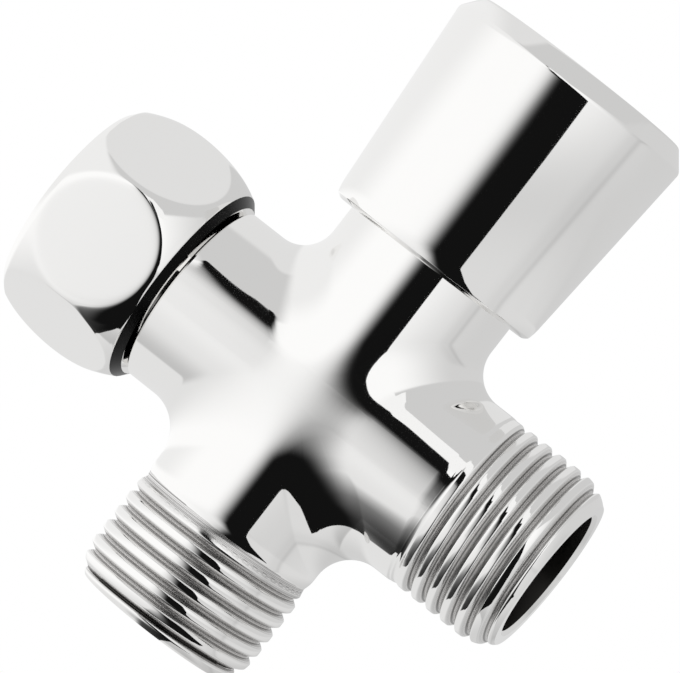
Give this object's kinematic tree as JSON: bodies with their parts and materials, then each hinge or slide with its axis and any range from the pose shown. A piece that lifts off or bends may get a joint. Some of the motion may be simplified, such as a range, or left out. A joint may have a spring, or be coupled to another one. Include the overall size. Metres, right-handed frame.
{
  "type": "shower diverter valve",
  "caption": "Cross-shaped chrome shower diverter: barrel swivel nut inlet, tapered quarter-turn knob and threaded outlets for a shower head and a hose.",
  "frame": {"origin": "on the inlet axis, where the swivel nut's internal thread begins behind its mouth chamfer", "axes": "+Z along the inlet, out of the nut's mouth; +X along the knob's axis, from the body to the knob; the side outlet points to -X and the lower outlet to -Z"},
  "size_m": [0.0731, 0.0288, 0.0646],
  "materials": {
    "chrome_body": "polished chrome plate on cast brass",
    "chrome_nut": "polished chrome plate on turned brass",
    "chrome_knob": "polished chrome plate on turned brass",
    "brass_rotor": "turned brass",
    "brass_bonnet": "turned brass",
    "liner_plastic": "off-white low-friction plastic",
    "washer_plastic": "white low-friction plastic",
    "stop_steel": "stamped stainless steel",
    "screw_steel": "dark hardened steel",
    "ring_steel": "stainless spring wire",
    "screen_steel": "pierced stainless steel",
    "washer_rubber": "black rubber",
    "seal_rubber": "black rubber"
  },
  "bodies": {
    "valve": {"valve_body": "chrome_body", "rotor_sleeve": "liner_plastic", "stop_washer": "stop_steel", "thrust_washer": "washer_plastic", "bonnet": "brass_bonnet", "bonnet_seal_ring": "seal_rubber", "nut_retaining_ring": "ring_steel", "inlet_washer": "washer_rubber", "inlet_screen": "screen_steel"},
    "control": {"knob": "chrome_knob", "rotor": "brass_rotor", "stem_ring_inner": "seal_rubber", "stem_ring_outer": "seal_rubber", "set_screw": "screw_steel"},
    "nut": {"swivel_nut": "chrome_nut"}
  },
  "joints": [
    {"name": "knob_turn", "type": "hinge", "parent": "valve", "child": "control", "pos_m": [0, 0, -0.0342], "axis": [1, 0, 0], "range_deg": [0, 90]},
    {"name": "nut_swivel", "type": "hinge", "parent": "valve", "child": "nut", "pos_m": [0, 0, -0.0072], "axis": [0, 0, 1], "continuous": true}
  ]
}
